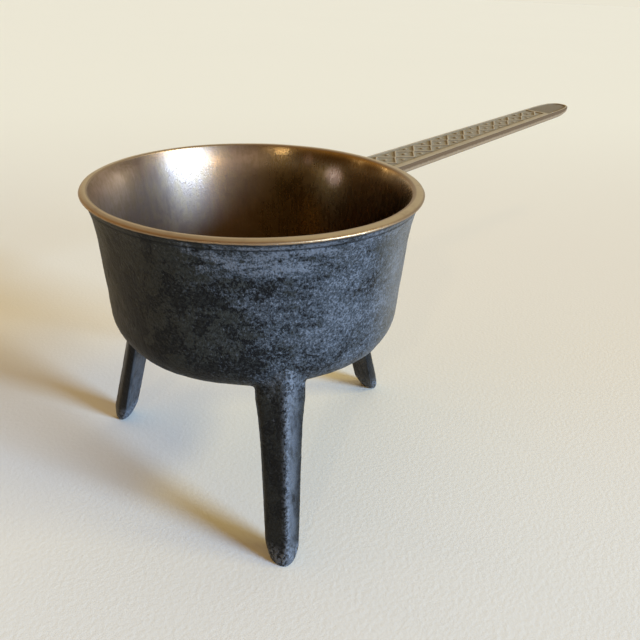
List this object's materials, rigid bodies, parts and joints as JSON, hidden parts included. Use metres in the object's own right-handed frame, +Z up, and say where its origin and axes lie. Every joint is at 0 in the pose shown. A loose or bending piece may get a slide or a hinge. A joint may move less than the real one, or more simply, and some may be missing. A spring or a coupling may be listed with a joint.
{
  "type": "three-legged bronze pot",
  "caption": "Round cast bronze cooking pot with a flared rim, rounded bottom, splayed ridged legs and one long flat handle with cast relief.",
  "frame": {"origin": "on the ground, under the middle of the whole piece", "axes": "+Z up, +X along the handle from the bowl to the tip"},
  "size_m": [0.3679, 0.1736, 0.1803],
  "materials": {
    "bowl_bronze": "cast bronze, dark mottled patina outside, worn brown-gold inside and on the rim",
    "handle_bronze": "cast bronze, dull brown-grey, worn bright on the raised relief",
    "leg_bronze": "cast bronze, blue-black patina with worn ridges"
  },
  "bodies": {
    "root": {"bowl": "bowl_bronze", "handle": "handle_bronze", "handle_leg": "leg_bronze", "left_leg": "leg_bronze", "right_leg": "leg_bronze"}
  },
  "joints": []
}
